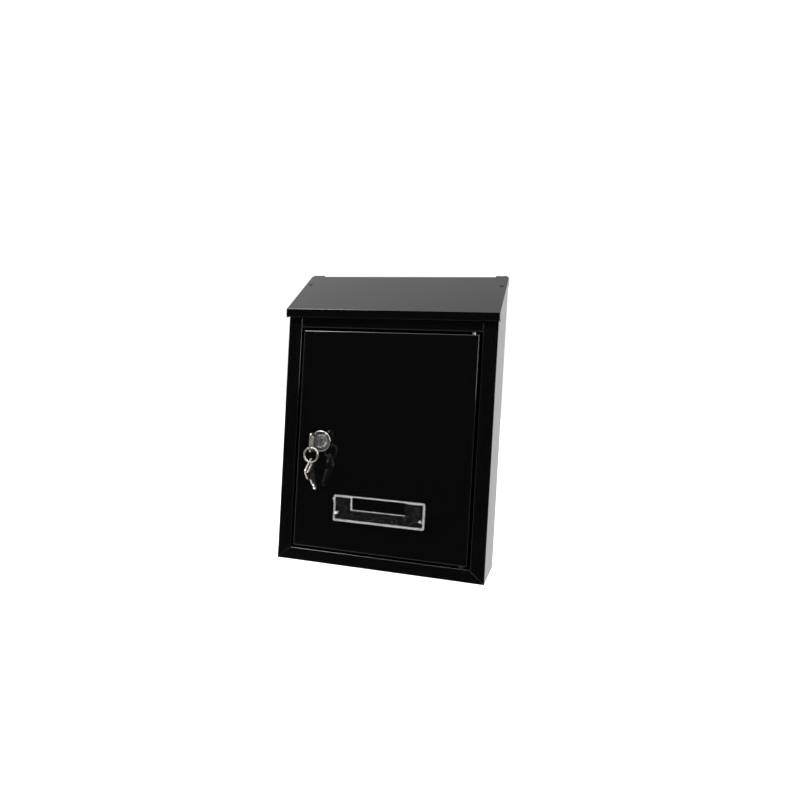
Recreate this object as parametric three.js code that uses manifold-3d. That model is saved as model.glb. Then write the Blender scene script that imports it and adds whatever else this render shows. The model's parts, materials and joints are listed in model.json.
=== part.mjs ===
// Wall mounted mailbox in folded steel sheet: sloping lid, side hung lockable door, card holder.
//
// Millimetres, +Z up. The origin is the middle of the back face, which lies against the wall (y = 0).
// The front looks along -Y, and +X is on the right of someone who faces the door.
// At rest the lid and the door are shut, the cam hangs down (unlocked) and a key stands in the lock.

import * as THREE from "three";
import { mergeVertices } from "three/addons/utils/BufferGeometryUtils.js";
import Module from "manifold-3d";

const wasm = await Module();
wasm.setup();

// ---- Driving dimensions ----

const WIDTH = 215; // casing, outside
const DEPTH = 64; // wall to front face
const BASE_Z = -150; // underside of the casing
const SHEET = 0.8; // steel sheet
const GAP = 0.3; // between pieces that lie on each other

const STILE = 14.4; // width of the frame at each side of the door
const BOTTOM_RAIL = 12.5; // height of the frame under the door
const FRAME_LIP = 13; // how far the frame's inner edge is folded back
const HEADER_Z = 89.2; // lower edge of the frame above the door
const HEADER_TOP_Z = 101; // upper edge of the same, under the lid
const HEADER_FLANGE = 8; // its fold at the letter slot

const RIDGE = { y: -11, z: 151.5 }; // lid, outer face at its rear edge
const EAVE = { y: -69.5, z: 107.4 }; // lid, outer face at the front fold
const LID_LIP = 8.4; // front fold of the lid
const LID_FLANGE = 8; // side folds of the lid
const LID_SIDE_GAP = 0.7; // between a side fold and the casing
const LID_CORNER_R = 3.6; // lower corners of the front fold

const LEDGE_Z = 143.4; // top of the ledges that carry the lid's hinges
const LEDGE = 17; // how far a ledge reaches forward
const LEDGE_HEM = 5; // its front edge, folded down
const CREST = { half: 92, z: 149, depth: 10 }; // the back panel's top between the ledges

const HINGE = { y: -7.5, z: 150.6 }; // lid hinge axis
const KNUCKLE_R = 2.6;
const HINGE_PIN_R = 1.1;
const LEAF = 1; // hinge leaf sheet
const KNUCKLE = { fixed: [95.4, 101.2], moving: [101.5, 107.3] }; // from the middle of the lid
const RIVET_R = 1.5;
const LEDGE_RIVET = { x: 99, y: -12.5, headR: 2.3, headThick: 0.6 };
const LID_RIVET = { x: 103.6, along: 18.5, headR: 2.1, proud: 0.6 }; // distance along the lid

const DOOR_GAP = 2.9; // shadow gap round the door
const DOOR_PROUD = 0.8; // door face in front of the frame face
const DOOR_FLANGE = 10;
const DOOR_PIVOT_IN = 6; // pivot from the door's edge
const DOOR_PIVOT_BACK = 5; // pivot behind the door's face
const DOOR_PIN_R = 2;
const DOOR_PIN_REACH = 8; // how far a pivot pin reaches into the door
const DOOR_PIN_COLLAR = { radius: 3, thick: 1.2 };
const DOOR_WASHER_R = 3.2;

const LOCK = { x: -64.5, z: -25.7 };
const LOCK_FACE_R = 10.5;
const LOCK_PROUD = 3.2; // lock face in front of the door
const LOCK_BODY_R = 8;
const LOCK_BODY_FLAT = 6.9;
const PLUG_R = 5.5;
const LOCK_REAR_Y = -50.2;
const CAM_Y = -49.9;
const CAM_SHEET = 2;
const CAM_REACH = 34;
const SHANK_HALF = 3; // square end of the plug, which turns the cam
const SCREW_R = 1.6;
const SCREW_HEAD = { radius: 3.3, thick: 1.8, cross: 0.5, crossHalf: 2.2 };
const CAM_WASHER = { radius: 5.2, thick: 0.6 };
const LOCK_WASHER = { radius: 12.2, thick: 0.8 };
const LOCK_NUT = { acrossFlats: 22, thick: 4 };
const WAFER = { first: -66, pitch: 1.9, count: 4, thick: 0.8, halfWide: 2.4, halfHigh: 4.3 };

const KEY_THICK = 1.8;
const KEY_LENGTH = 34;
const BLADE_HALF = 3.1; // half the width of the blade
const KEY_OUT = 26; // from the lock's face to the end of the bow
const BOW = { length: 15.5, width: 19 };
const BOW_SLOT = { from: 1.9, to: 5.7, half: 6.5 }; // slot for the ring, across the bow

const RING_R = 7; // middle of the wire
const RING_WIRE_R = 0.75;
const RING_DROP = 12.2; // ring centre below the key's axis
const SPARE_TILT = THREE.MathUtils.degToRad(40); // spare key from upright, tip towards the door

const HOLDER = { half: 47, bottom: -104.5, top: -78.4, proud: 2.5 };
const HOLDER_SHEET = 1;
const HOLDER_WALL = 1.8;
const HOLDER_TOP_WALL = 1.2;
const HOLDER_LUG = { z: -82.6, radius: 1.7 };
const NOTCH = { half: 27.5, bottom: -91.8 };
const PEG = { x: 43.6, z: -96.4, radius: 1.4, reach: 2.6 };
const PEG_CLIP = { radius: 4, thick: 0.5 };

// ---- Sizes that follow ----

const HALF = WIDTH / 2;
const FRONT_Y = -DEPTH;
const OPEN_HALF = HALF - STILE;
const OPEN_BOTTOM = BASE_Z + BOTTOM_RAIL;
const LID_HALF = HALF + LID_SIDE_GAP + SHEET;
const SLOPE = Math.atan2(RIDGE.z - EAVE.z, RIDGE.y - EAVE.y);
const DOOR_Y = FRONT_Y - DOOR_PROUD;
const DOOR_HALF = OPEN_HALF - DOOR_GAP;
const DOOR_BOTTOM = OPEN_BOTTOM + DOOR_GAP;
const DOOR_TOP = HEADER_Z - DOOR_GAP;
const DOOR_PIVOT = { x: DOOR_HALF - DOOR_PIVOT_IN, y: DOOR_Y + DOOR_PIVOT_BACK };
const LOCK_FACE_Y = DOOR_Y - LOCK_PROUD;
const BOW_END_Y = LOCK_FACE_Y - KEY_OUT;
const RING_Y = BOW_END_Y + (BOW_SLOT.from + BOW_SLOT.to) / 2;
const RING_Z = LOCK.z - RING_DROP;
const KEYWAY_HALF = KEY_THICK / 2 + GAP;

// ---- Materials ----

const finish = (color, roughness, metalness) =>
  new THREE.MeshStandardMaterial({ color, roughness, metalness });
const BLACK_GLOSS = () => finish(0x0b0b0c, 0.12, 0.1);
const ZINC = () => finish(0xb3b5b2, 0.42, 0.9);
const CHROME = () => finish(0xc9cbce, 0.14, 1);
const NICKEL = () => finish(0xbfb8a8, 0.28, 1);
const BRASS = () => finish(0xb08d45, 0.32, 1);
const NYLON = () => finish(0x1b1b1c, 0.5, 0);
const CLEAR = () => {
  const clear = finish(0xf2f6f8, 0.06, 0);
  clear.transparent = true;
  clear.opacity = 0.35;
  return clear;
};

// ---- Solids ----

// Coordinates are rounded to a micrometre, so that faces meant to share a plane share it exactly.
function solid(geometry) {
  const steps = 1000;
  const bare = geometry.clone();
  bare.deleteAttribute("normal");
  bare.deleteAttribute("uv");
  const merged = mergeVertices(bare, 1e-4);
  const { array } = merged.attributes.position;
  const vertProperties = array.map((value) => Math.round(value * steps) / steps);
  const triVerts = new Uint32Array(merged.index.array);
  return new wasm.Manifold(new wasm.Mesh({ numProp: 3, vertProperties, triVerts }));
}

function geometryOf(manifold) {
  const mesh = manifold.getMesh();
  const geometry = new THREE.BufferGeometry();
  geometry.setAttribute("position", new THREE.BufferAttribute(mesh.vertProperties, 3));
  geometry.setIndex(new THREE.BufferAttribute(mesh.triVerts, 1));
  const faceted = geometry.toNonIndexed();
  faceted.computeVertexNormals();
  return faceted;
}

function join(...solids) {
  return solids.reduce((whole, next) => whole.add(next));
}

// A block between two values on each axis.
function block([x0, x1], [y0, y1], [z0, z1]) {
  const geometry = new THREE.BoxGeometry(x1 - x0, y1 - y0, z1 - z0);
  geometry.translate((x0 + x1) / 2, (y0 + y1) / 2, (z0 + z1) / 2);
  return solid(geometry);
}

// Plane shapes are drawn in (y, z), (x, z) or (x, y) and pushed along the axis that is left over.
const PLANE_OF = {
  X: new THREE.Matrix4().set(0, 0, 1, 0, 1, 0, 0, 0, 0, 1, 0, 0, 0, 0, 0, 1),
  Y: new THREE.Matrix4().set(1, 0, 0, 0, 0, 0, -1, 0, 0, 1, 0, 0, 0, 0, 0, 1),
  Z: new THREE.Matrix4(),
};

function prism(shape, axis, from, to, curveSegments = 4) {
  const depth = to - from;
  const geometry = new THREE.ExtrudeGeometry(shape, { depth, bevelEnabled: false, curveSegments });
  geometry.translate(0, 0, axis === "Y" ? -to : from);
  geometry.applyMatrix4(PLANE_OF[axis]);
  return solid(geometry);
}

function rod(axis, [a, b], radius, from, to, segments = 24) {
  const circle = new THREE.Shape().absarc(a, b, radius, 0, 2 * Math.PI, false);
  return prism(circle, axis, from, to, segments);
}

function polygon(points) {
  return new THREE.Shape(points.map(([a, b]) => new THREE.Vector2(a, b)));
}

// A closed outline whose corners are rounded; each point is [a, b, radius].
function rounded(points) {
  const shape = new THREE.Shape();
  points.forEach(([a, b, radius = 0], i) => {
    const corner = new THREE.Vector2(a, b);
    const before = new THREE.Vector2(...points.at(i - 1)).sub(corner).setLength(radius);
    const after = new THREE.Vector2(...points[(i + 1) % points.length]).sub(corner).setLength(radius);
    const start = corner.clone().add(before);
    const end = corner.clone().add(after);
    if (i === 0) shape.moveTo(start.x, start.y);
    else shape.lineTo(start.x, start.y);
    if (radius > 0) shape.quadraticCurveTo(corner.x, corner.y, end.x, end.y);
  });
  shape.closePath();
  return shape;
}

// The section of a folded sheet: its outer line, and the same line moved one thickness to the left.
function foldedSection(line, thickness) {
  const points = line.map(([a, b]) => new THREE.Vector2(a, b));
  const sides = points.slice(1).map((p, i) => p.clone().sub(points[i]).normalize());
  const normals = sides.map((side) => new THREE.Vector2(-side.y, side.x));
  const inner = points.map((p, i) => {
    const before = normals[Math.max(i - 1, 0)];
    const after = normals[Math.min(i, normals.length - 1)];
    const bisector = before.clone().add(after).normalize();
    return p.clone().addScaledVector(bisector, thickness / bisector.dot(after));
  });
  return new THREE.Shape([...points, ...inner.reverse()]);
}

// The point at a distance along the lid from its ridge, and below its outer face.
function onLid(along, below) {
  const y = RIDGE.y - along * Math.cos(SLOPE) + below * Math.sin(SLOPE);
  const z = RIDGE.z - along * Math.sin(SLOPE) - below * Math.cos(SLOPE);
  return [y, z];
}

const SIDES = [
  ["left", -1],
  ["right", 1],
];

// A span on one side of the middle, given from its inner to its outer distance.
function span(side, inner, outer) {
  return side > 0 ? [inner, outer] : [-outer, -inner];
}

// ---- Casing: one strip folded round both sides and the bottom, with a mitred front frame ----

function casingWrap() {
  const sideTop = LEDGE_Z + 2;
  const sideBelowLid = SHEET + 1.8;
  const topAt = (y) => EAVE.z + (y - EAVE.y) * Math.tan(SLOPE) - sideBelowLid / Math.cos(SLOPE);
  const slopeEndY = EAVE.y + (sideTop - topAt(EAVE.y)) / Math.tan(SLOPE);
  const sideShape = polygon([
    [FRONT_Y, BASE_Z],
    [0, BASE_Z],
    [0, sideTop],
    [slopeEndY, sideTop],
    [FRONT_Y, topAt(FRONT_Y)],
  ]);
  const stileTop = topAt(FRONT_Y) - 2;
  const face = [FRONT_Y, FRONT_Y + SHEET];
  const lip = [FRONT_Y, FRONT_Y + FRAME_LIP];
  const lipTop = HEADER_Z - 2 * GAP;
  const parts = [
    block([-HALF, HALF], [FRONT_Y, 0], [BASE_Z, BASE_Z + SHEET]),
    block([-HALF, HALF], face, [BASE_Z, OPEN_BOTTOM]),
    block([-OPEN_HALF - SHEET, OPEN_HALF + SHEET], lip, [OPEN_BOTTOM - SHEET, OPEN_BOTTOM]),
  ];
  for (const [, side] of SIDES) {
    const skin = span(side, HALF - SHEET, HALF);
    parts.push(prism(sideShape, "X", ...skin));
    parts.push(block(span(side, OPEN_HALF, HALF), face, [BASE_Z, stileTop]));
    parts.push(block(span(side, OPEN_HALF, OPEN_HALF + SHEET), lip, [OPEN_BOTTOM - SHEET, lipTop]));
  }
  const pinHole = rod("Z", [DOOR_PIVOT.x, DOOR_PIVOT.y], DOOR_PIN_R + GAP, OPEN_BOTTOM - 3, OPEN_BOTTOM + 3);
  return join(...parts)
    .subtract(mitre(-1))
    .subtract(mitre(1))
    .subtract(pinHole);
}

// The seam from the corner of the door opening to just short of the outer corner.
function mitre(side) {
  const seam = 0.35;
  const uncut = 0.06;
  const corner = new THREE.Vector2(side * HALF, BASE_Z);
  const inner = new THREE.Vector2(side * OPEN_HALF, OPEN_BOTTOM).lerp(corner, -uncut);
  const outer = corner.lerp(inner, uncut);
  const across = outer.clone().sub(inner).rotateAround(new THREE.Vector2(), Math.PI / 2);
  across.setLength(seam / 2);
  const corners = [
    inner.clone().add(across),
    outer.clone().add(across),
    outer.clone().sub(across),
    inner.clone().sub(across),
  ];
  return prism(new THREE.Shape(corners), "Y", FRONT_Y - 1, FRONT_Y + SHEET / 2);
}

// The rail above the door: lip, face and letter slot flange, with end tabs behind the stiles.
function headerRail() {
  const end = OPEN_HALF - GAP;
  const tabEnd = HALF - SHEET - GAP;
  const section = foldedSection(
    [
      [FRONT_Y + HEADER_FLANGE, HEADER_TOP_Z],
      [FRONT_Y, HEADER_TOP_Z],
      [FRONT_Y, HEADER_Z],
      [FRONT_Y + FRAME_LIP, HEADER_Z],
    ],
    SHEET,
  );
  const parts = [prism(section, "X", -end, end)];
  const tabY = [FRONT_Y + SHEET + GAP, FRONT_Y + 2 * SHEET + GAP];
  for (const [, side] of SIDES) {
    const joggle = span(side, end - SHEET, end);
    parts.push(block(joggle, [FRONT_Y, tabY[1]], [HEADER_Z, HEADER_TOP_Z]));
    parts.push(block(span(side, end - SHEET, tabEnd), tabY, [HEADER_Z + 1, HEADER_TOP_Z]));
  }
  const pinHole = rod("Z", [DOOR_PIVOT.x, DOOR_PIVOT.y], DOOR_PIN_R + GAP, HEADER_Z - 3, HEADER_Z + 3);
  return join(...parts).subtract(pinHole);
}

// The back: a tray against the wall. Its top folds forward, high in the middle to close the gap
// under the lid's rear edge, and lower at both ends, where a ledge carries each lid hinge.
function backPanel() {
  const half = HALF - SHEET - GAP;
  const bottom = BASE_Z + SHEET + GAP;
  const flange = 12;
  const screwHole = { x: 60, z: 112, radius: 3 };
  const tray = foldedSection(
    [
      [-flange, bottom],
      [0, bottom],
      [0, LEDGE_Z],
    ],
    SHEET,
  );
  const crest = foldedSection(
    [
      [0, LEDGE_Z - 1],
      [0, CREST.z],
      [-CREST.depth, CREST.z],
      [-CREST.depth, LEDGE_Z - LEDGE_HEM],
    ],
    SHEET,
  );
  const ledge = foldedSection(
    [
      [0, LEDGE_Z - 1],
      [0, LEDGE_Z],
      [-LEDGE, LEDGE_Z],
      [-LEDGE, LEDGE_Z - LEDGE_HEM],
    ],
    SHEET,
  );
  let panel = join(prism(tray, "X", -half, half), prism(crest, "X", -CREST.half, CREST.half));
  for (const [, side] of SIDES) {
    const edge = span(side, half - SHEET, half);
    const rivetHole = [side * LEDGE_RIVET.x, LEDGE_RIVET.y];
    panel = panel.add(prism(ledge, "X", ...span(side, CREST.half - SHEET, half)));
    panel = panel.add(block(edge, [-flange, -SHEET / 2], [bottom, LEDGE_Z - SHEET / 2]));
    for (const z of [-screwHole.z, screwHole.z])
      panel = panel.subtract(rod("Y", [side * screwHole.x, z], screwHole.radius, -3, 3, 12));
    panel = panel.subtract(rod("Z", rivetHole, RIVET_R + GAP, LEDGE_Z - 3, LEDGE_Z + 3, 12));
  }
  return panel;
}

// ---- Lid and its hinges ----

function flapLid() {
  const lipBottom = EAVE.z - LID_LIP;
  const section = foldedSection(
    [
      [RIDGE.y, RIDGE.z],
      [EAVE.y, EAVE.z],
      [EAVE.y, lipBottom],
    ],
    SHEET,
  );
  const flangeFoot = onLid(0, LID_FLANGE);
  const lidFlange = rounded([
    [RIDGE.y, RIDGE.z],
    [EAVE.y, EAVE.z],
    [EAVE.y, lipBottom, LID_CORNER_R],
    [EAVE.y + SHEET + 4.2, lipBottom],
    [...flangeFoot, 2],
  ]);
  let lid = prism(section, "X", -LID_HALF, LID_HALF);
  for (const [, side] of SIDES) {
    lid = lid.add(prism(lidFlange, "X", ...span(side, LID_HALF - SHEET, LID_HALF)));
    lid = lid.subtract(lipCorner(side, lipBottom));
    lid = lid.subtract(lidRivetRod(side, RIVET_R + GAP, -3, 5));
  }
  return lid;
}

// What is cut off the lower corner of the front fold to leave it rounded.
function lipCorner(side, lipBottom) {
  const r = LID_CORNER_R;
  const x = side * LID_HALF;
  const over = side * 1;
  const cut = new THREE.Shape();
  cut.moveTo(x + over, lipBottom + r);
  cut.lineTo(x, lipBottom + r);
  cut.quadraticCurveTo(x, lipBottom, x - side * r, lipBottom);
  cut.lineTo(x - side * r, lipBottom - 1);
  cut.lineTo(x + over, lipBottom - 1);
  return prism(cut, "Y", EAVE.y - 1, EAVE.y + SHEET + LID_CORNER_R);
}

// A rod square to the lid, between two depths below its outer face, on the rivet's axis.
function lidRivetRod(side, radius, from, to) {
  const [y, z] = onLid(LID_RIVET.along, from);
  const upright = rod("Z", [0, 0], radius, from - to, 0, 16);
  return upright.rotate([THREE.MathUtils.radToDeg(SLOPE), 0, 0]).translate([side * LID_RIVET.x, y, z]);
}

// The leaf under the lid: one knuckle and a tongue riveted to the sheet.
function movingLeaf(side) {
  const [inner, outer] = KNUCKLE.moving;
  const top = SHEET + GAP;
  const end = LID_RIVET.along + 5;
  const tongue = polygon([
    onLid(-3, top),
    onLid(end, top),
    onLid(end, top + LEAF),
    onLid(2.5, top + LEAF),
    [HINGE.y - 1.1, HINGE.z - 2.1],
  ]);
  const knuckle = rod("X", [HINGE.y, HINGE.z], KNUCKLE_R, ...span(side, inner, outer));
  return join(knuckle, prism(tongue, "X", ...span(side, 97, 106)).subtract(knuckleRoom(side)))
    .subtract(rod("X", [HINGE.y, HINGE.z], HINGE_PIN_R + GAP, -HALF - 1, HALF + 1, 16))
    .subtract(lidRivetRod(side, RIVET_R + GAP, 0, 6));
}

// Room round the fixed knuckle for the moving leaf to turn.
function knuckleRoom(side) {
  const [inner] = KNUCKLE.fixed;
  const [moving] = KNUCKLE.moving;
  return rod("X", [HINGE.y, HINGE.z], KNUCKLE_R + 2 * GAP, ...span(side, inner - 1, moving));
}

// The leaf on the ledge: one knuckle, a riser behind the axis and a riveted foot.
function fixedLeaf(side) {
  const [inner, outer] = KNUCKLE.fixed;
  const sole = LEDGE_Z + GAP;
  const riserY = [HINGE.y + KNUCKLE_R - LEAF, HINGE.y + KNUCKLE_R];
  const where = span(side, inner, outer);
  return join(
    rod("X", [HINGE.y, HINGE.z], KNUCKLE_R, ...where),
    block(where, riserY, [sole, HINGE.z]),
    block(where, [LEDGE_RIVET.y - 3.5, riserY[1]], [sole, sole + LEAF]),
  )
    .subtract(rod("X", [HINGE.y, HINGE.z], HINGE_PIN_R + GAP, -HALF - 1, HALF + 1, 16))
    .subtract(rod("Z", [side * LEDGE_RIVET.x, LEDGE_RIVET.y], RIVET_R + GAP, sole - 1, sole + 3, 12));
}

function hingePin(side) {
  const headProud = 0.5;
  const where = span(side, KNUCKLE.fixed[0] - headProud, KNUCKLE.moving[1]);
  return rod("X", [HINGE.y, HINGE.z], HINGE_PIN_R, ...where, 16);
}

// A rivet through the lid and the moving leaf: a nearly flush head outside, a flat one inside.
function lidRivet(side) {
  const { headR, proud } = LID_RIVET;
  const leafBottom = SHEET + GAP + LEAF;
  return join(
    lidRivetRod(side, headR, -proud, -GAP),
    lidRivetRod(side, RIVET_R, -proud / 2 - GAP / 2, leafBottom + proud),
    lidRivetRod(side, headR, leafBottom + GAP, leafBottom + GAP + proud),
  );
}

function ledgeRivet(side) {
  const { headR, headThick } = LEDGE_RIVET;
  const at = [side * LEDGE_RIVET.x, LEDGE_RIVET.y];
  const top = LEDGE_Z + 2 * GAP + LEAF;
  const underside = LEDGE_Z - SHEET - GAP;
  return join(
    rod("Z", at, headR, top, top + headThick, 16),
    rod("Z", at, RIVET_R, underside - headThick / 2, top + headThick / 2, 16),
    rod("Z", at, headR, underside - headThick, underside, 16),
  );
}

// ---- Door ----

function doorPanel() {
  const faceY = [DOOR_Y, DOOR_Y + SHEET];
  const flangeY = [DOOR_Y, DOOR_Y + DOOR_FLANGE];
  const high = [DOOR_BOTTOM, DOOR_TOP];
  const wide = [-DOOR_HALF, DOOR_HALF];
  let panel = join(
    block(wide, faceY, high),
    block(wide, flangeY, [DOOR_BOTTOM, DOOR_BOTTOM + SHEET]),
    block(wide, flangeY, [DOOR_TOP - SHEET, DOOR_TOP]),
  );
  for (const [, side] of SIDES) {
    panel = panel.add(block(span(side, DOOR_HALF - SHEET, DOOR_HALF), flangeY, high));
    panel = panel.subtract(rod("Y", [side * PEG.x, PEG.z], PEG.radius + GAP, DOOR_Y - 1, DOOR_Y + 2, 12));
  }
  const pivotHole = rod("Z", [DOOR_PIVOT.x, DOOR_PIVOT.y], DOOR_PIN_R + GAP, DOOR_BOTTOM - 1, DOOR_TOP + 1);
  return panel.subtract(pivotHole).subtract(lockSection(GAP, DOOR_Y - 1, DOOR_Y + 2));
}

// The lock's round body with two flats, larger all round by a margin.
function lockSection(margin, from, to) {
  const flat = LOCK_BODY_FLAT + margin;
  const radius = LOCK_BODY_R + margin;
  const edge = Math.acos(flat / radius);
  const shape = new THREE.Shape();
  shape.absarc(LOCK.x, LOCK.z, radius, edge, Math.PI - edge, false);
  shape.absarc(LOCK.x, LOCK.z, radius, Math.PI + edge, 2 * Math.PI - edge, false);
  return prism(shape, "Y", from, to, 12);
}

// A pin between its collar's outer end and its tip in the door, one above the other.
function pivotPin(collarEnd, tip) {
  const { x, y } = DOOR_PIVOT;
  const { radius, thick } = DOOR_PIN_COLLAR;
  const collar = collarEnd < tip ? [collarEnd, collarEnd + thick] : [collarEnd - thick, collarEnd];
  const pin = rod("Z", [x, y], DOOR_PIN_R, Math.min(collarEnd, tip), Math.max(collarEnd, tip));
  return join(pin, rod("Z", [x, y], radius, ...collar));
}

function pivotWasher() {
  const { x, y } = DOOR_PIVOT;
  const from = OPEN_BOTTOM + GAP;
  const to = DOOR_BOTTOM - GAP;
  const hole = rod("Z", [x, y], DOOR_PIN_R + GAP, from - 1, to + 1);
  return rod("Z", [x, y], DOOR_WASHER_R, from, to).subtract(hole);
}

// ---- Lock ----

// A body turned round the lock's axis from a closed outline of [radius, y] points.
function turned(outline, segments) {
  const profile = outline.map(([radius, y]) => new THREE.Vector2(radius, y));
  const geometry = new THREE.LatheGeometry([...profile, profile[0]], segments);
  geometry.translate(LOCK.x, 0, LOCK.z);
  return solid(geometry);
}

function lockHousing() {
  const bore = PLUG_R + GAP;
  const back = DOOR_Y - GAP;
  const rim = turned(
    [
      [bore, LOCK_REAR_Y],
      [bore, LOCK_FACE_Y + 0.5],
      [bore + 0.5, LOCK_FACE_Y],
      [LOCK_FACE_R - 2.2, LOCK_FACE_Y],
      [LOCK_FACE_R - 0.7, LOCK_FACE_Y + 0.6],
      [LOCK_FACE_R, LOCK_FACE_Y + 1.8],
      [LOCK_FACE_R, back],
      [LOCK_BODY_R, back],
      [LOCK_BODY_R, LOCK_REAR_Y],
    ],
    40,
  );
  const trim = LOCK_BODY_R + 4;
  const keep = lockSection(0, back, LOCK_REAR_Y + 1);
  const flange = block(
    [LOCK.x - trim, LOCK.x + trim],
    [LOCK_FACE_Y - 1, back + 0.01],
    [LOCK.z - trim, LOCK.z + trim],
  );
  return rim.intersect(keep.add(flange));
}

function lockWasher() {
  const { radius, thick } = LOCK_WASHER;
  const at = [LOCK.x, LOCK.z];
  const y = DOOR_Y + SHEET + GAP;
  const hole = rod("Y", at, LOCK_BODY_R + GAP, y - 1, y + thick + 1, 32);
  return rod("Y", at, radius, y, y + thick, 32).subtract(hole);
}

function lockNut() {
  const { acrossFlats, thick } = LOCK_NUT;
  const at = [LOCK.x, LOCK.z];
  const y = DOOR_Y + SHEET + LOCK_WASHER.thick + 2 * GAP;
  const hole = rod("Y", at, LOCK_BODY_R + GAP, y - 1, y + thick + 1, 32);
  return rod("Y", at, acrossFlats / Math.sqrt(3), y, y + thick, 6).subtract(hole);
}

function lockPlug() {
  const front = LOCK_FACE_Y + 0.3;
  const { x, z } = LOCK;
  const shankEnd = CAM_Y + CAM_SHEET + 0.2;
  const keywayHalf = BLADE_HALF + GAP;
  let plug = join(
    rod("Y", [x, z], PLUG_R, front, LOCK_REAR_Y, 32),
    block([x - SHANK_HALF, x + SHANK_HALF], [LOCK_REAR_Y - 1, shankEnd], [z - SHANK_HALF, z + SHANK_HALF]),
  );
  const keyway = block(
    [x - KEYWAY_HALF, x + KEYWAY_HALF],
    [front - 1, LOCK_FACE_Y + KEY_LENGTH - KEY_OUT + 1],
    [z - keywayHalf, z + keywayHalf],
  );
  plug = plug.subtract(keyway).subtract(rod("Y", [x, z], SCREW_R + GAP, LOCK_REAR_Y - 3, shankEnd + 1, 16));
  for (let i = 0; i < WAFER.count; i++) {
    const y = WAFER.first + i * WAFER.pitch;
    plug = plug.subtract(
      block(
        [x - WAFER.halfWide - GAP, x + WAFER.halfWide + GAP],
        [y - GAP, y + WAFER.thick + GAP],
        [z - WAFER.halfHigh - GAP, z + WAFER.halfHigh + GAP],
      ),
    );
  }
  return plug;
}

function wafer(index) {
  const { x, z } = LOCK;
  const y = WAFER.first + index * WAFER.pitch;
  const { halfWide, halfHigh, thick } = WAFER;
  const windowHalf = BLADE_HALF + GAP;
  const plate = block([x - halfWide, x + halfWide], [y, y + thick], [z - halfHigh, z + halfHigh]);
  const window = block(
    [x - KEYWAY_HALF, x + KEYWAY_HALF],
    [y - 1, y + thick + 1],
    [z - windowHalf, z + windowHalf],
  );
  return plate.subtract(window);
}

function lockCam() {
  const { x, z } = LOCK;
  const half = 7;
  const tipHalf = 6;
  const shape = rounded([
    [x - half, z + 8.5, 5],
    [x - half, z - 12, 3],
    [x - tipHalf, z - CAM_REACH, 1.5],
    [x + tipHalf, z - CAM_REACH, 1.5],
    [x + half, z - 12, 3],
    [x + half, z + 8.5, 5],
  ]);
  const hole = SHANK_HALF + GAP;
  return prism(shape, "Y", CAM_Y, CAM_Y + CAM_SHEET).subtract(
    block([x - hole, x + hole], [CAM_Y - 1, CAM_Y + CAM_SHEET + 1], [z - hole, z + hole]),
  );
}

function camWasher() {
  const { radius, thick } = CAM_WASHER;
  const at = [LOCK.x, LOCK.z];
  const y = CAM_Y + CAM_SHEET + 2 * GAP;
  const hole = rod("Y", at, SCREW_R + GAP, y - 1, y + thick + 1, 16);
  return rod("Y", at, radius, y, y + thick).subtract(hole);
}

function camScrew() {
  const { x, z } = LOCK;
  const { radius, thick, cross, crossHalf } = SCREW_HEAD;
  const threadLength = 2.4;
  const head = CAM_Y + CAM_SHEET + 3 * GAP + CAM_WASHER.thick;
  const recess = [head + thick / 2, head + thick + 1];
  return join(
    rod("Y", [x, z], radius, head, head + thick),
    rod("Y", [x, z], SCREW_R, LOCK_REAR_Y - threadLength, head + thick / 3, 16),
  )
    .subtract(block([x - crossHalf, x + crossHalf], recess, [z - cross, z + cross]))
    .subtract(block([x - cross, x + cross], recess, [z - crossHalf, z + crossHalf]));
}

// ---- Keys and ring ----

// A key drawn with its length along the first coordinate from the bow's end, and its width across.
function keySolid() {
  const { length, width } = BOW;
  const half = width / 2;
  const neck = 4.2;
  const shoulder = length + 9;
  const outline = [
    [0, -half, 3],
    [length - 2.5, -half, 3.5],
    [length + 1.5, -neck, 1.5],
    [shoulder, -neck, 0.4],
    [shoulder, -BLADE_HALF],
  ];
  const cuts = [1.8, 1.1, 1.8];
  const cutHalf = 1;
  const cutFlatHalf = 0.2;
  const tip = { length: 1.5, half: 0.8 };
  const cutRoom = KEY_LENGTH - tip.length - cutHalf - shoulder;
  cuts.forEach((depth, i) => {
    const u = shoulder + cutHalf + ((i + 0.5) * cutRoom) / cuts.length;
    const bottom = depth - BLADE_HALF;
    outline.push([u - cutHalf, -BLADE_HALF], [u - cutFlatHalf, bottom]);
    outline.push([u + cutFlatHalf, bottom], [u + cutHalf, -BLADE_HALF]);
  });
  outline.push([KEY_LENGTH - tip.length, -BLADE_HALF], [KEY_LENGTH, -tip.half]);
  outline.push([KEY_LENGTH, tip.half], [KEY_LENGTH - tip.length, BLADE_HALF]);
  outline.push([shoulder, BLADE_HALF], [shoulder, neck, 0.4], [length + 1.5, neck, 1.5]);
  outline.push([length - 2.5, half, 3.5], [0, half, 3]);
  const shape = rounded(outline);
  const { from, to, half: reach } = BOW_SLOT;
  shape.holes.push(rounded([[from, -reach, 1.6], [from, reach, 1.6], [to, reach, 1.6], [to, -reach, 1.6]]));
  return prism(shape, "X", -KEY_THICK / 2, KEY_THICK / 2, 8);
}

// The key in the lock: its bow stands upright in front of the face.
function keyInLock() {
  return keySolid().translate([LOCK.x, BOW_END_Y, LOCK.z]);
}

// The spare key hangs on the lowest point of the ring by one end of its slot.
function spareKey() {
  const wireRoom = RING_WIRE_R + GAP;
  const hangPoint = [0, -(BOW_SLOT.from + wireRoom), wireRoom - BOW_SLOT.half];
  const turn = -90 + THREE.MathUtils.radToDeg(SPARE_TILT);
  return keySolid()
    .translate(hangPoint)
    .rotate([turn, 0, 0])
    .translate([LOCK.x, RING_Y, RING_Z - RING_R]);
}

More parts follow.
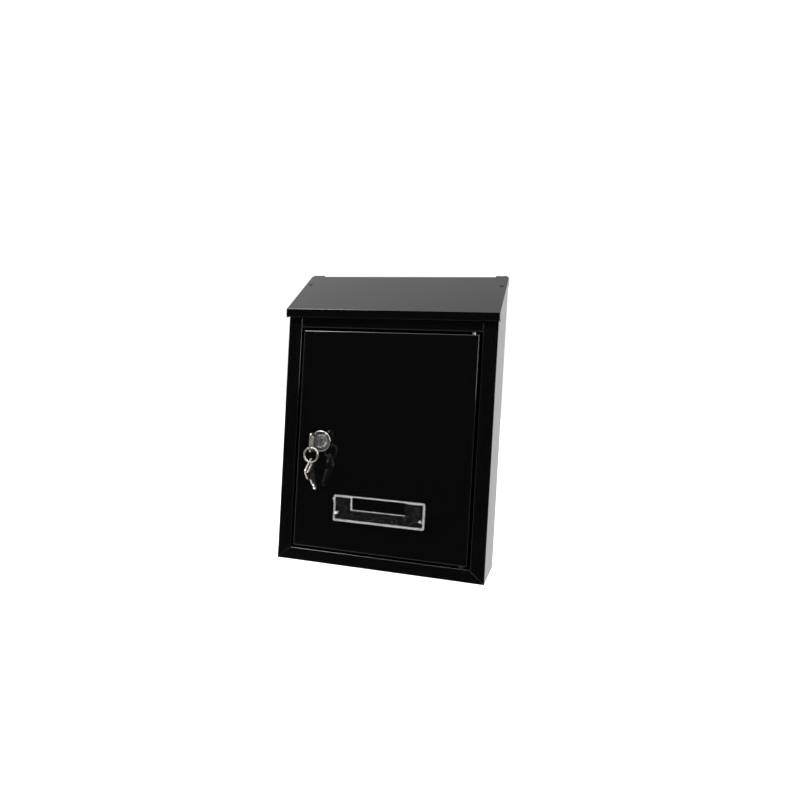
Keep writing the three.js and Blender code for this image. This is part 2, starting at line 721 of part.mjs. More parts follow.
function keyRing() {
  const section = 8;
  const wire = [];
  for (let i = 0; i <= section; i++) {
    const angle = (i / section) * 2 * Math.PI;
    wire.push(new THREE.Vector2(RING_R + RING_WIRE_R * Math.cos(angle), RING_WIRE_R * Math.sin(angle)));
  }
  const geometry = new THREE.LatheGeometry(wire, 36);
  geometry.translate(LOCK.x, RING_Y, RING_Z);
  return solid(geometry);
}

// ---- Card holder ----

function nameplateCover() {
  const { half, bottom, top, proud } = HOLDER;
  const front = DOOR_Y - proud;
  const back = DOOR_Y - GAP;
  const outline = rounded([
    [-half, bottom, 1],
    [half, bottom, 2.5],
    [half, top, 2.5],
    [-half, top, 1],
  ]);
  const hollow = block(
    [-half + HOLDER_WALL, half - HOLDER_WALL],
    [front + HOLDER_SHEET, back + 1],
    [bottom + HOLDER_WALL, top - HOLDER_TOP_WALL],
  );
  const notch = block(
    [-NOTCH.half, NOTCH.half],
    [front - 1, front + HOLDER_SHEET + GAP],
    [NOTCH.bottom, top - HOLDER_TOP_WALL],
  );
  const lug = rod("Y", [-half, HOLDER_LUG.z], HOLDER_LUG.radius, front + HOLDER_SHEET / 2, back, 16);
  let cover = prism(outline, "Y", front, back).add(lug).subtract(hollow).subtract(notch);
  for (const [, side] of SIDES) {
    const at = [side * PEG.x, PEG.z];
    cover = cover.add(rod("Y", at, PEG.radius, front + HOLDER_SHEET / 2, DOOR_Y + PEG.reach, 12));
  }
  return cover;
}

// A sprung clip that holds a peg behind the door's skin.
function pegClip(side) {
  const y = DOOR_Y + SHEET + GAP;
  const { radius, thick } = PEG_CLIP;
  const at = [side * PEG.x, PEG.z];
  return rod("Y", at, radius, y, y + thick, 16).subtract(rod("Y", at, PEG.radius + GAP, y - 1, y + 1, 12));
}

// ---- Assembly ----

const group = new THREE.Group();

function add(name, manifold, material) {
  const mesh = new THREE.Mesh(geometryOf(manifold), material);
  mesh.name = name;
  group.add(mesh);
}

add("casing_wrap", casingWrap(), BLACK_GLOSS());
add("header_rail", headerRail(), BLACK_GLOSS());
add("back_panel", backPanel(), BLACK_GLOSS());
add("flap_lid", flapLid(), BLACK_GLOSS());
add("door_panel", doorPanel(), BLACK_GLOSS());

for (const [name, side] of SIDES) {
  add(`flap_hinge_fixed_leaf_${name}`, fixedLeaf(side), BLACK_GLOSS());
  add(`flap_hinge_moving_leaf_${name}`, movingLeaf(side), BLACK_GLOSS());
  add(`flap_hinge_pin_${name}`, hingePin(side), ZINC());
  add(`flap_rivet_${name}`, lidRivet(side), BLACK_GLOSS());
  add(`ledge_rivet_${name}`, ledgeRivet(side), ZINC());
  add(`nameplate_clip_${name}`, pegClip(side), ZINC());
}

const collarRoom = SHEET + GAP + DOOR_PIN_COLLAR.thick;
add("door_pivot_pin_upper", pivotPin(HEADER_Z + collarRoom, DOOR_TOP - DOOR_PIN_REACH), ZINC());
add("door_pivot_pin_lower", pivotPin(OPEN_BOTTOM - collarRoom, DOOR_BOTTOM + DOOR_PIN_REACH), ZINC());
add("door_pivot_washer", pivotWasher(), NYLON());

add("lock_housing", lockHousing(), CHROME());
add("lock_washer", lockWasher(), ZINC());
add("lock_nut", lockNut(), ZINC());
add("lock_plug", lockPlug(), CHROME());
for (let i = 0; i < WAFER.count; i++) add(`lock_wafer_${i + 1}`, wafer(i), BRASS());
add("lock_cam", lockCam(), ZINC());
add("cam_washer", camWasher(), ZINC());
add("cam_screw", camScrew(), ZINC());

add("key_in_lock", keyInLock(), NICKEL());
add("key_ring", keyRing(), NICKEL());
add("spare_key", spareKey(), NICKEL());
add("nameplate_cover", nameplateCover(), CLEAR());

export default group;
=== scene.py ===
"""Wall mounted mailbox in black enamelled sheet steel, with a chrome cam lock and its keys."""

import json
import math

import bmesh
import bpy
from mathutils import Matrix, Vector


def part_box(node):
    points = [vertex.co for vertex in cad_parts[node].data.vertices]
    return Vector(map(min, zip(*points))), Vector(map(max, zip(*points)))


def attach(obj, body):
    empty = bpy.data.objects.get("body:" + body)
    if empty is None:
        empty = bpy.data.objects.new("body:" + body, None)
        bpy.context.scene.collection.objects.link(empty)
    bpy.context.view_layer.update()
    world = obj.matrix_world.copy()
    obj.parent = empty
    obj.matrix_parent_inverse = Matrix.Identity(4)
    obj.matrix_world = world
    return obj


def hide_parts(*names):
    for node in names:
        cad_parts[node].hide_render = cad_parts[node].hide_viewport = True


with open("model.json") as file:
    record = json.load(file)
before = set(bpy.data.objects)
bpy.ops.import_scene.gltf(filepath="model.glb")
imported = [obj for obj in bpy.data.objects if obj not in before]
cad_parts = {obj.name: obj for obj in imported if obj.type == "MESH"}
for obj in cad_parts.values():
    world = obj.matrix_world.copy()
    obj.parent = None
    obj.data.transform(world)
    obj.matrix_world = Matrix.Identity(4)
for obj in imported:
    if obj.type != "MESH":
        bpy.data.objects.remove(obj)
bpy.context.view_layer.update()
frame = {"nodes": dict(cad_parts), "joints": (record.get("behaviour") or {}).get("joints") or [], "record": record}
MM = 0.001

# ---- Places and sizes, from the frame ----

JOINTS = {joint["name"]: joint for joint in frame["joints"]}
BODIES = frame["record"]["behaviour"]["bodies"]
BODY_OF = {node: body for body, nodes in BODIES.items() for node in nodes}
SLOT_OF = {part["node"]: part["material_slot"] for part in frame["record"]["subparts"]}


def box(node):
    low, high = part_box(node)
    return Vector(low), Vector(high)


def middle(node):
    low, high = box(node)
    return (low + high) / 2


LOCK_LOW, LOCK_HIGH = box("lock_housing")
LOCK_AXIS = middle("lock_housing")
RING_CENTRE = middle("key_ring")
NOTCH_HALF = 27.5 * MM
NOTCH_BOTTOM = -91.8 * MM
PEG_X, PEG_Z = 43.6 * MM, -96.4 * MM
PIVOT = Vector(JOINTS["door_swing"]["pos_m"])
WALL_SCREW_X, WALL_SCREW_Z = 60 * MM, 112 * MM
LEDGE_RIVET_X, LEDGE_RIVET_Y = 99 * MM, -12.5 * MM
LID_RIVET_X, LID_RIVET_Y = 103.6 * MM, -25.8 * MM
IN_LOCK_TILT = math.radians(90)
SPARE_TILT = math.radians(40)
SMOOTH_ANGLE = math.radians(32)
CUT_EDGE = 0.22 * MM  # how far a sheet's cut edges are broken

# ---- Node materials ----


class Shader:
    """A Principled material and short calls that add nodes to it."""

    def __init__(self, name, **settings):
        self.material = bpy.data.materials.new(name)
        self.material.use_nodes = True
        self.nodes = self.material.node_tree.nodes
        self.links = self.material.node_tree.links
        self.surface = self.nodes["Principled BSDF"]
        for socket, value in settings.items():
            self.surface.inputs[socket.replace("_", " ")].default_value = value
        self.place = self.add("ShaderNodeTexCoord").outputs["Object"]

    def add(self, kind, inputs=None, **settings):
        node = self.nodes.new(kind)
        for key, value in settings.items():
            setattr(node, key, value)
        for key, value in (inputs or {}).items():
            if isinstance(value, bpy.types.NodeSocket):
                self.links.new(value, node.inputs[key])
            else:
                node.inputs[key].default_value = value
        return node

    def noise(self, scale, detail=3.0, stretch=None, roughness=0.5):
        place = self.place
        if stretch:
            place = self.add("ShaderNodeMapping", {"Vector": place, "Scale": stretch}).outputs["Vector"]
        inputs = {"Vector": place, "Scale": scale, "Detail": detail, "Roughness": roughness}
        return self.add("ShaderNodeTexNoise", inputs).outputs["Fac"]

    def ramp(self, value, low, high, to_low=0.0, to_high=1.0):
        inputs = {"Value": value, "From Min": low, "From Max": high, "To Min": to_low, "To Max": to_high}
        return self.add("ShaderNodeMapRange", inputs).outputs["Result"]

    def math(self, operation, a, b):
        return self.add("ShaderNodeMath", {0: a, 1: b}, operation=operation).outputs["Value"]

    def blend(self, factor, a, b):
        node = self.add("ShaderNodeMix", data_type="RGBA")
        for key, value in ((0, factor), (6, a), (7, b)):
            if isinstance(value, bpy.types.NodeSocket):
                self.links.new(value, node.inputs[key])
            else:
                node.inputs[key].default_value = value
        return node.outputs[2]

    def wire(self, socket, value):
        self.links.new(value, self.surface.inputs[socket])

    def bump(self, *layers):
        """Layers of (height, distance in metres, strength), laid over each other."""
        normal = None
        for height, distance, strength in layers:
            inputs = {"Height": height, "Distance": distance, "Strength": strength}
            if normal:
                inputs["Normal"] = normal
            normal = self.add("ShaderNodeBump", inputs).outputs["Normal"]
        self.wire("Normal", normal)

    def from_axis(self, centre):
        inputs = {"Vector": self.place, "Location": (-centre[0], 0, -centre[2]), "Scale": (1, 0, 1)}
        return self.add("ShaderNodeMapping", inputs).outputs["Vector"]

    def rings(self, centre, pitch):
        """Fine rings round an axis along Y, as a turning tool leaves them."""
        offset = self.from_axis(centre)
        radius = self.add("ShaderNodeVectorMath", {0: offset}, operation="LENGTH").outputs["Value"]
        return self.math("SINE", self.math("MULTIPLY", radius, 2 * math.pi / pitch), 0.0)

    def round_the(self, centre):
        """The direction of turning round an axis along Y."""
        inputs = {0: self.from_axis(centre), 1: (0, 1, 0)}
        sideways = self.add("ShaderNodeVectorMath", inputs, operation="CROSS_PRODUCT").outputs["Vector"]
        settings = {"vector_type": "VECTOR", "convert_from": "OBJECT", "convert_to": "WORLD"}
        return self.add("ShaderNodeVectorTransform", {0: sideways}, **settings).outputs[0]

    def edges(self, radius):
        """0 on open surfaces, 1 along edges."""
        eased = self.add("ShaderNodeBevel", {"Radius": radius}, samples=6).outputs["Normal"]
        flat = self.add("ShaderNodeNewGeometry").outputs["Normal"]
        alike = self.add("ShaderNodeVectorMath", {0: eased, 1: flat}, operation="DOT_PRODUCT")
        return self.ramp(alike.outputs["Value"], 0.8, 0.99, 1.0, 0.0)


def rgb(red, green, blue):
    return (red, green, blue, 1.0)


def black_enamel():
    paint = Shader("black_enamel", IOR=1.52, Coat_Weight=0.3, Coat_Roughness=0.03)
    cloud = paint.noise(9, 4)
    film = paint.blend(cloud, rgb(0.0005, 0.0005, 0.0006), rgb(0.0012, 0.0012, 0.0014))
    worn = paint.math("MULTIPLY", paint.edges(0.5 * MM), paint.ramp(paint.noise(160, 4), 0.45, 0.7))
    paint.wire("Base Color", paint.blend(worn, film, rgb(0.012, 0.012, 0.013)))
    haze = paint.ramp(paint.noise(22, 5), 0.3, 0.75, 0.07, 0.13)
    paint.wire("Roughness", paint.math("ADD", haze, paint.ramp(paint.noise(700, 3), 0.5, 0.8, 0.0, 0.03)))
    paint.bump((paint.noise(420, 2), 0.00004, 0.2), (paint.noise(60, 2), 0.00015, 0.08))
    return paint.material


def metal(name, dark, light, rough, grain, scratch_stretch, turned_about=None):
    """Plated metal: clouded tint, fine directional scratches and brighter rubbed edges."""
    plate = Shader(name, Metallic=1.0)
    cloud = plate.noise(60, 4)
    scratch = plate.noise(grain, 3, stretch=scratch_stretch)
    rubbed = plate.edges(0.3 * MM)
    tint = plate.blend(cloud, dark, light)
    bright = rgb(*(min(1.0, 1.2 * c) for c in light[:3]))
    plate.wire("Base Color", plate.blend(rubbed, tint, bright))
    wear = plate.ramp(plate.noise(180, 4), 0.3, 0.7, rough * 0.75, rough * 1.35)
    plate.wire("Roughness", plate.math("ADD", wear, plate.ramp(scratch, 0.55, 0.8, 0.0, 0.12)))
    layers = [(scratch, 0.00002, 0.35), (cloud, 0.00003, 0.15)]
    if turned_about is not None:
        layers.append((plate.rings(turned_about, 0.45 * MM), 0.00002, 0.4))
        plate.surface.inputs["Anisotropic"].default_value = 0.75
        plate.wire("Tangent", plate.round_the(turned_about))
    plate.bump(*layers)
    return plate.material


def clear_plastic():
    """Clear moulded plastic: the thin sheet hardly shows; its walls, the notch's edge and the pegs carry painted
    highlights in pale, opaque colour.
    """
    clear = Shader("clear_plastic", IOR=1.49, Coat_Weight=0.6, Coat_Roughness=0.05)
    low, high = box("nameplate_cover")
    centre = (low + high) / 2
    split = clear.add("ShaderNodeSeparateXYZ", {0: clear.place})
    x, height = split.outputs["X"], split.outputs["Z"]
    across = clear.math("ABSOLUTE", clear.math("SUBTRACT", x, centre.x), 0.0)
    from_left = clear.math("MULTIPLY", clear.math("SUBTRACT", x, low.x), 0.6)
    from_side = clear.math("MINIMUM", from_left, clear.math("SUBTRACT", high.x, x))
    above, under = clear.math("SUBTRACT", height, low.z), clear.math("SUBTRACT", high.z, height)
    from_ends = clear.math("MINIMUM", above, under)
    # Painted highlight: a pale band along the cover's walls, wider at the left wall.
    wall = clear.ramp(clear.math("MINIMUM", from_side, from_ends), 1.5 * MM, 2.1 * MM, 0.75, 0.0)
    beyond = clear.math("SUBTRACT", across, NOTCH_HALF)
    below = clear.math("SUBTRACT", NOTCH_BOTTOM, height)
    off_notch = clear.math("ABSOLUTE", clear.math("MAXIMUM", beyond, below), 0.0)
    # Painted highlight: a pale line along the notch's edge, joined to the walls' band.
    painted_highlights = clear.math("MAXIMUM", wall, clear.ramp(off_notch, 0.3 * MM, 0.85 * MM, 1.1, 0.0))
    peg_across = clear.math("SUBTRACT", across, PEG_X)
    peg_up = clear.math("SUBTRACT", height, PEG_Z)
    to_peg = clear.math(
        "ADD", clear.math("MULTIPLY", peg_across, peg_across), clear.math("MULTIPLY", peg_up, peg_up)
    )
    # Painted highlight: a bright spot round each peg, fading from the cover's left end to its right end.
    peg_highlight = clear.ramp(to_peg, (1.1 * MM) ** 2, (1.6 * MM) ** 2, 2.4, 0.0)
    peg_highlight = clear.math("MULTIPLY", peg_highlight, clear.ramp(x, low.x, high.x, 1.0, 0.35))
    painted_highlights = clear.math("MAXIMUM", painted_highlights, peg_highlight)
    cloud = clear.noise(220, 3)
    streak = clear.ramp(cloud, 0.2, 0.8, 0.8, 1.0)
    # The alpha lets the pale base colour show only where these painted highlights fall; elsewhere the sheet is
    # nearly clear.
    clear.wire("Alpha", clear.ramp(clear.math("MULTIPLY", painted_highlights, streak), 0, 2.4, 0.003, 0.6))
    clear.wire("Base Color", clear.blend(cloud, rgb(0.6, 0.62, 0.64), rgb(0.8, 0.82, 0.83)))
    clear.wire("Roughness", clear.ramp(clear.noise(300, 4, stretch=(1, 1, 3)), 0.5, 0.75, 0.08, 0.2))
    clear.bump((clear.noise(140, 3), 0.00008, 0.25))
    return clear.material


def black_nylon():
    nylon = Shader("black_nylon", IOR=1.53)
    cloud = nylon.noise(200, 3)
    nylon.wire("Base Color", nylon.blend(cloud, rgb(0.006, 0.006, 0.006), rgb(0.014, 0.014, 0.014)))
    nylon.wire("Roughness", nylon.ramp(nylon.noise(500, 3), 0.3, 0.7, 0.4, 0.6))
    nylon.bump((nylon.noise(900, 2), 0.00003, 0.3))
    return nylon.material


MATERIALS = {
    "black_enamel": black_enamel(),
    "zinc_steel": metal("zinc_steel", rgb(0.42, 0.43, 0.42), rgb(0.58, 0.59, 0.57), 0.36, 900, (1, 1, 1)),
    "chrome": metal(
        "chrome", rgb(0.42, 0.43, 0.44), rgb(0.56, 0.57, 0.58), 0.2, 1500, (1, 1, 0.4), turned_about=LOCK_AXIS
    ),
    "nickel": metal("nickel", rgb(0.59, 0.55, 0.49), rgb(0.77, 0.73, 0.67), 0.26, 1200, (1, 0.15, 1)),
    "brass": metal("brass", rgb(0.45, 0.32, 0.12), rgb(0.66, 0.49, 0.22), 0.3, 1200, (1, 1, 0.2)),
    "black_nylon": black_nylon(),
    "clear_plastic": clear_plastic(),
}

# ---- Pieces ----


def finish_piece(piece, node):
    """The piece takes the node's place, its body and its material."""
    slot = SLOT_OF[node]
    piece.data.materials.clear()
    piece.data.materials.append(MATERIALS[slot])
    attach(piece, BODY_OF[node])
    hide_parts(node)


def new_piece(name, bm):
    mesh = bpy.data.meshes.new(name)
    bm.to_mesh(mesh)
    bm.free()
    piece = bpy.data.objects.new(name, mesh)
    bpy.context.scene.collection.objects.link(piece)
    return piece


def even_shading(piece):
    normals = piece.modifiers.new("even_shading", "WEIGHTED_NORMAL")
    normals.keep_sharp = True
    normals.weight = 100


def weighted_bevel(piece, width, segments, clamp=False):
    bevel = piece.modifiers.new("rounded_edges", "BEVEL")
    bevel.limit_method = "WEIGHT"
    bevel.width = width
    bevel.segments = segments
    bevel.use_clamp_overlap = clamp
    bevel.miter_outer = "MITER_SHARP"
    even_shading(piece)


def reach_from(face, edge):
    """How far a face extends away from one of its edges."""
    start = edge.verts[0].co
    along = (edge.verts[1].co - start).normalized()
    offsets = ((v.co - start) for v in face.verts)
    return max((offset - along * offset.dot(along)).length for offset in offsets)


def plain_faces(node, seams=()):
    """The node's mesh with its triangles merged into flat faces, which still part along the seams."""
    bm = bmesh.new()
    bm.from_mesh(frame["nodes"][node].data)
    bmesh.ops.remove_doubles(bm, verts=bm.verts, dist=2e-6)
    for axis, value, reach in seams:
        for offset in (-reach, 0, reach):
            across = Vector([float(name == axis) for name in "xyz"])
            geometry = bm.verts[:] + bm.edges[:] + bm.faces[:]
            made = bmesh.ops.bisect_plane(
                bm, geom=geometry, dist=2e-6, plane_co=across * (value + offset), plane_no=across
            )
            for edge in made["geom_cut"]:
                if isinstance(edge, bmesh.types.BMEdge):
                    edge.seam = True
    limit = {"angle_limit": math.radians(0.6), "verts": bm.verts, "edges": bm.edges, "delimit": {"SEAM"}}
    bmesh.ops.dissolve_limit(bm, **limit)
    bmesh.ops.connect_verts_concave(bm, faces=bm.faces)
    return bm


def folded_sheet(node, bend, seams):
    """The node's sheet with its bends rolled to a radius and its cut edges broken."""
    bm = plain_faces(node, seams)
    weight = bm.edges.layers.float.new("bevel_weight_edge")
    widest_cut, shortest_fold = 1.3 * MM, 3 * MM
    for face in bm.faces:
        face.smooth = True
    for edge in bm.edges:
        if len(edge.link_faces) != 2 or edge.calc_face_angle() < SMOOTH_ANGLE:
            continue
        is_fold = all(reach_from(face, edge) > widest_cut for face in edge.link_faces)
        inner = edge.calc_face_angle_signed() < 0
        if is_fold and edge.calc_length() > shortest_fold:
            edge[weight] = 0.45 if inner else 1.0
        elif inner:
            edge.smooth = False
        else:
            edge[weight] = CUT_EDGE / bend
    piece = new_piece(f"{node}_formed", bm)
    weighted_bevel(piece, bend, 4)
    finish_piece(piece, node)


def broken_edges(node, rim):
    """A small machined or stamped node with its sharp edges broken."""
    bm = plain_faces(node)
    weight = bm.edges.layers.float.new("bevel_weight_edge")
    for face in bm.faces:
        face.smooth = True
    for edge in bm.edges:
        if len(edge.link_faces) != 2 or edge.calc_face_angle() < SMOOTH_ANGLE:
            continue
        if edge.calc_face_angle_signed() < 0:
            edge.smooth = False
        else:
            edge[weight] = 1.0
    piece = new_piece(f"{node}_finished", bm)
    weighted_bevel(piece, rim, 2, clamp=True)
    finish_piece(piece, node)


def inward(walls):
    """The way into the metal at a corner of a plate, as long as a unit offset of both walls needs."""
    first, last = walls[0], walls[-1]
    return -(first + last) / max(0.4, 1 + first.dot(last))


def key(node, tilt):
    """A flat key across X: its bow is rounded all along its edge and its blade is left crisp."""
    plate = plain_faces(node)
    along = Vector((0, math.sin(tilt), -math.cos(tilt)))
    start = min(v.co.dot(along) for v in plate.verts)
    bow, bow_rim, blade_rim, steps = 16 * MM, 0.72 * MM, 0.2 * MM, 5
    middle_x = sum(v.co.x for v in plate.verts) / len(plate.verts)
    is_flat = {face: abs(face.normal.x) > 0.9 for face in plate.faces}
    bm = bmesh.new()
    chains = {}
    for vert in plate.verts:
        walls = [face.normal.copy() for face in vert.link_faces if not is_flat[face]]
        rim = bow_rim if vert.co.dot(along) - start < bow else blade_rim
        side = Vector((math.copysign(rim, vert.co.x - middle_x), 0, 0))
        chains[vert] = []
        for k in range(steps + 1):
            angle = math.pi / 2 * k / steps
            shift = inward(walls) * rim * (1 - math.cos(angle)) - side * (1 - math.sin(angle))
            chains[vert].append(bm.verts.new(vert.co + shift))
    for face in plate.faces:
        bm.faces.new([chains[vert][steps if is_flat[face] else 0] for vert in face.verts])
    for edge in plate.edges:
        if len({is_flat[face] for face in edge.link_faces}) == 2:
            first, second = (chains[vert] for vert in edge.verts)
            for k in range(steps):
                bm.faces.new((first[k], second[k], second[k + 1], first[k + 1]))
    plate.free()
    bmesh.ops.recalc_face_normals(bm, faces=bm.faces)
    for face in bm.faces:
        face.smooth = True
    for edge in bm.edges:
        edge.smooth = edge.calc_face_angle(0) < SMOOTH_ANGLE
    piece = new_piece(f"{node}_finished", bm)
    even_shading(piece)
    finish_piece(piece, node)


def lathe(name, profile, axis, steps=128):
    """A closed outline of (radius, y) points turned round an axis along Y."""
    bm = bmesh.new()
    rings = []
    for i in range(steps):
        angle = 2 * math.pi * i / steps
        sideways, upward = math.cos(angle), math.sin(angle)
        rings.append([bm.verts.new((axis.x + r * sideways, y, axis.z + r * upward)) for r, y in profile])
    count = len(profile)
    for i, ring in enumerate(rings):
        following = rings[(i + 1) % steps]
        for k in range(count):
            corners = (ring[k], ring[(k + 1) % count], following[(k + 1) % count], following[k])
            bm.faces.new(corners).smooth = True
    bmesh.ops.recalc_face_normals(bm, faces=bm.faces)
    for edge in bm.edges:
        if edge.calc_face_angle(0) > SMOOTH_ANGLE:
            edge.smooth = False
    return new_piece(name, bm)


def lock_housing():
    """The turned flange, and behind it the threaded body with its two flats."""
    face = LOCK_LOW.y
    back = box("door_panel")[0].y - 0.3 * MM
    rear = LOCK_HIGH.y
    outer = (LOCK_HIGH.x - LOCK_LOW.x) / 2
    bore, body, flat = 5.8 * MM, 8 * MM, 6.9 * MM
    flange = [
        (bore, rear),
        (bore, face + 0.7 * MM),
        (bore + 0.2 * MM, face + 0.25 * MM),
        (bore + 0.6 * MM, face + 0.05 * MM),
        (bore + 1.1 * MM, face),
        (outer - 2.2 * MM, face),
        (outer - 0.7 * MM, face + 0.04 * MM),
        (outer - 0.35 * MM, face + 0.12 * MM),
        (outer - 0.1 * MM, face + 0.32 * MM),
        (outer, face + 0.6 * MM),
        (outer, back),
        (body - 0.5 * MM, back),
        (body - 0.5 * MM, rear),
    ]
    finish_piece(lathe("lock_flange", flange, LOCK_AXIS), "lock_housing")
    pitch = 1.0 * MM
    turns = int((rear - back) / pitch)
    thread = [(bore + 0.2 * MM, rear), (bore + 0.2 * MM, back)]
    for i in range(turns):
        start = back + i * pitch
        thread += [(body - 0.45 * MM, start), (body, start + 0.4 * pitch), (body, start + 0.6 * pitch)]
    thread.append((body - 0.45 * MM, rear))
    piece = lathe("lock_thread", thread, LOCK_AXIS, 96)
    for vertex in piece.data.vertices:
        offset = vertex.co.z - LOCK_AXIS.z
        vertex.co.z = LOCK_AXIS.z + max(-flat, min(flat, offset))
    finish_piece(piece, "lock_housing")


def split_ring():
    """A key ring of sprung wire wound almost twice round."""
    low, high = box("key_ring")
    wire, flat = 0.74 * MM, 0.36 * MM
    radius = (high.x - low.x) / 2 - wire
    steps, section, turns = 150, 12, 1.92
    bm = bmesh.new()
    loops = []
    for i in range(steps + 1):
        share = i / steps
        angle = math.radians(115) + 2 * math.pi * turns * share
        along = (share - 0.5) * turns * 2.04 * flat
        outward = Vector((math.cos(angle), 0, math.sin(angle)))
        centre = RING_CENTRE + outward * radius + Vector((0, along, 0))
        loop = []
        for k in range(section):
            turn = 2 * math.pi * k / section
            across = outward * (wire * math.cos(turn))
            loop.append(bm.verts.new(centre + across + Vector((0, flat * math.sin(turn), 0))))
        loops.append(loop)
    for first, second in zip(loops, loops[1:]):
        for k in range(section):
            corners = (first[k], first[(k + 1) % section], second[(k + 1) % section], second[k])
            bm.faces.new(corners).smooth = True
    bm.faces.new(loops[0])
    bm.faces.new(reversed(loops[-1]))
    bmesh.ops.recalc_face_normals(bm, faces=bm.faces)
    finish_piece(new_piece("key_ring_wire", bm), "key_ring")


SHEET_BENDS = {
    "casing_wrap": 1.2 * MM,
    "header_rail": 1.0 * MM,
    "back_panel": 1.2 * MM,
    "flap_lid": 0.9 * MM,
    "door_panel": 1.5 * MM,
}
PIVOT_SEAMS = [("x", PIVOT.x, 3.0 * MM), ("y", PIVOT.y, 2.9 * MM)]
# Each sheet's faces part along lines through its holes, as (axis, middle, distance to each side).
SEAMS = {
    "casing_wrap": [*PIVOT_SEAMS, ("x", 0.0, 88 * MM), ("z", -132 * MM, 3 * MM)],
    "header_rail": [("x", PIVOT.x, 3.4 * MM), ("y", PIVOT.y, 2.6 * MM)],
    "back_panel": [
        *(("x", side * WALL_SCREW_X, 5 * MM) for side in (-1, 1)),
        *(("z", side * WALL_SCREW_Z, 5 * MM) for side in (-1, 1)),
        *(("x", side * LEDGE_RIVET_X, 3 * MM) for side in (-1, 1)),
        ("y", LEDGE_RIVET_Y, 3 * MM),
    ],
    "flap_lid": [
        *(("x", side * LID_RIVET_X, 2.6 * MM) for side in (-1, 1)),
        ("y", LID_RIVET_Y, 3 * MM),
    ],
    "door_panel": [
        *PIVOT_SEAMS,
        ("x", LOCK_AXIS.x, 11 * MM),
        ("z", LOCK_AXIS.z, 11 * MM),
        *(("x", side * PEG_X, 3 * MM) for side in (-1, 1)),
        ("z", PEG_Z, 3 * MM),
    ],
}
EDGE_BREAKS = {"nameplate_cover": 0.25 * MM}
USUAL_EDGE_BREAK = 0.15 * MM
for name, bend in SHEET_BENDS.items():
    folded_sheet(name, bend, SEAMS[name])
lock_housing()
split_ring()
key("key_in_lock", IN_LOCK_TILT)
key("spare_key", SPARE_TILT)
REMADE = {"lock_housing", "key_ring", "key_in_lock", "spare_key", *SHEET_BENDS}
for name in sorted(frame["nodes"]):
    if name not in REMADE:
        broken_edges(name, EDGE_BREAKS.get(name, USUAL_EDGE_BREAK))

# ---- Camera ----

CAMERA_PLACE = Vector((0.1744, -0.6371, 0.0284))
AZIMUTH = math.radians(15.51)
DOWNWARD = math.radians(0.77)
ROLL = math.radians(3.12)

camera_data = bpy.data.cameras.new("camera")
camera_data.sensor_width = 36
camera_data.lens = 27.27
camera = bpy.data.objects.new("camera", camera_data)
bpy.context.scene.collection.objects.link(camera)
turn = Matrix.Rotation(AZIMUTH, 4, "Z")
turn = turn @ Matrix.Rotation(math.pi / 2 - DOWNWARD, 4, "X") @ Matrix.Rotation(ROLL, 4, "Z")
camera.matrix_world = Matrix.Translation(CAMERA_PLACE) @ turn
bpy.context.scene.camera = camera

# ---- Studio ----

FLOOR_Z = -0.42


def studio_floor():
    """A plain pale floor, well below the box, which hangs on its wall face."""
    bm = bmesh.new()
    bmesh.ops.create_grid(bm, x_segments=1, y_segments=1, size=12)
    bmesh.ops.translate(bm, verts=bm.verts, vec=(0, 0, FLOOR_Z))
    floor = new_piece("studio_floor", bm)
    shade = Shader("pale_floor", Roughness=0.9)
    shade.wire("Base Color", shade.blend(shade.noise(3, 2), rgb(0.93, 0.93, 0.93), rgb(0.95, 0.95, 0.95)))
    floor.data.materials.append(shade.material)
    floor.visible_glossy = False


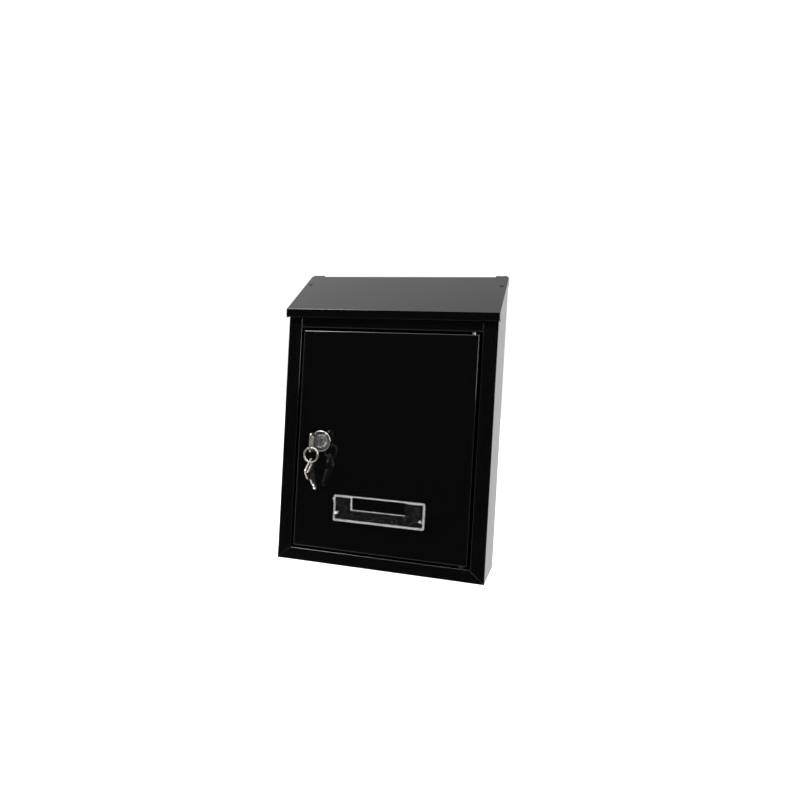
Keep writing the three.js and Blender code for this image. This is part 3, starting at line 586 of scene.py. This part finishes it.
def studio_world():
    """White behind, above and below the box, dim in front of it and dimmer to its right."""
    world = bpy.data.worlds.new("studio")
    bpy.context.scene.world = world
    world.use_nodes = True
    nodes = world.node_tree.nodes
    links = world.node_tree.links
    nodes.clear()
    direction = nodes.new("ShaderNodeTexCoord").outputs["Generated"]
    split = nodes.new("ShaderNodeSeparateXYZ")
    links.new(direction, split.inputs[0])
    steep = nodes.new("ShaderNodeMath")
    steep.operation = "ABSOLUTE"
    links.new(split.outputs["Z"], steep.inputs[0])
    up = nodes.new("ShaderNodeMath")
    up.operation = "MULTIPLY_ADD"
    links.new(steep.outputs[0], up.inputs[0])
    up.inputs[1].default_value = 0.75
    links.new(split.outputs["Y"], up.inputs[2])
    shade = nodes.new("ShaderNodeMapRange")
    shade.interpolation_type = "SMOOTHSTEP"
    links.new(up.outputs[0], shade.inputs["Value"])
    shade.inputs["From Min"].default_value = -0.74
    shade.inputs["From Max"].default_value = 0.06
    shade.inputs["To Min"].default_value = 0.016
    shade.inputs["To Max"].default_value = 0.78
    lean = nodes.new("ShaderNodeMath")
    lean.operation = "MULTIPLY_ADD"
    links.new(split.outputs["X"], lean.inputs[0])
    lean.inputs[1].default_value = -0.38
    lean.inputs[2].default_value = 1.0
    leaned = nodes.new("ShaderNodeMath")
    leaned.operation = "MULTIPLY"
    links.new(shade.outputs["Result"], leaned.inputs[0])
    links.new(lean.outputs[0], leaned.inputs[1])
    seen = nodes.new("ShaderNodeLightPath")
    mix = nodes.new("ShaderNodeMix")
    links.new(seen.outputs["Is Camera Ray"], mix.inputs["Factor"])
    links.new(leaned.outputs[0], mix.inputs["A"])
    mix.inputs["B"].default_value = 1.05
    background = nodes.new("ShaderNodeBackground")
    background.inputs["Color"].default_value = rgb(1, 1, 1)
    links.new(mix.outputs["Result"], background.inputs["Strength"])
    output = nodes.new("ShaderNodeOutputWorld")
    links.new(background.outputs[0], output.inputs["Surface"])


def softbox(name, place, size, power):
    """A rectangular light that faces the origin."""
    data = bpy.data.lights.new(name, "AREA")
    data.shape = "RECTANGLE"
    data.size, data.size_y = size
    data.energy = power
    lamp = bpy.data.objects.new(name, data)
    bpy.context.scene.collection.objects.link(lamp)
    lamp.location = place
    lamp.rotation_euler = (-Vector(place)).to_track_quat("-Z", "Y").to_euler()


def floor_sun():
    """Even light from above that whitens the floor and leaves no glint on the box."""
    data = bpy.data.lights.new("floor_sun", "SUN")
    data.energy = 3.2
    data.angle = math.radians(70)
    lamp = bpy.data.objects.new("floor_sun", data)
    bpy.context.scene.collection.objects.link(lamp)
    lamp.visible_glossy = False


studio_floor()
studio_world()
softbox("key_light", (-0.75, -0.9, 1.15), (0.5, 0.5), 14)
softbox("side_light", (1.2, -0.75, 0.45), (0.25, 0.9), 9)
softbox("top_strip", (0.1, -1.3, 1.3), (2.2, 0.5), 30)
floor_sun()

bpy.context.scene.view_settings.view_transform = "Standard"
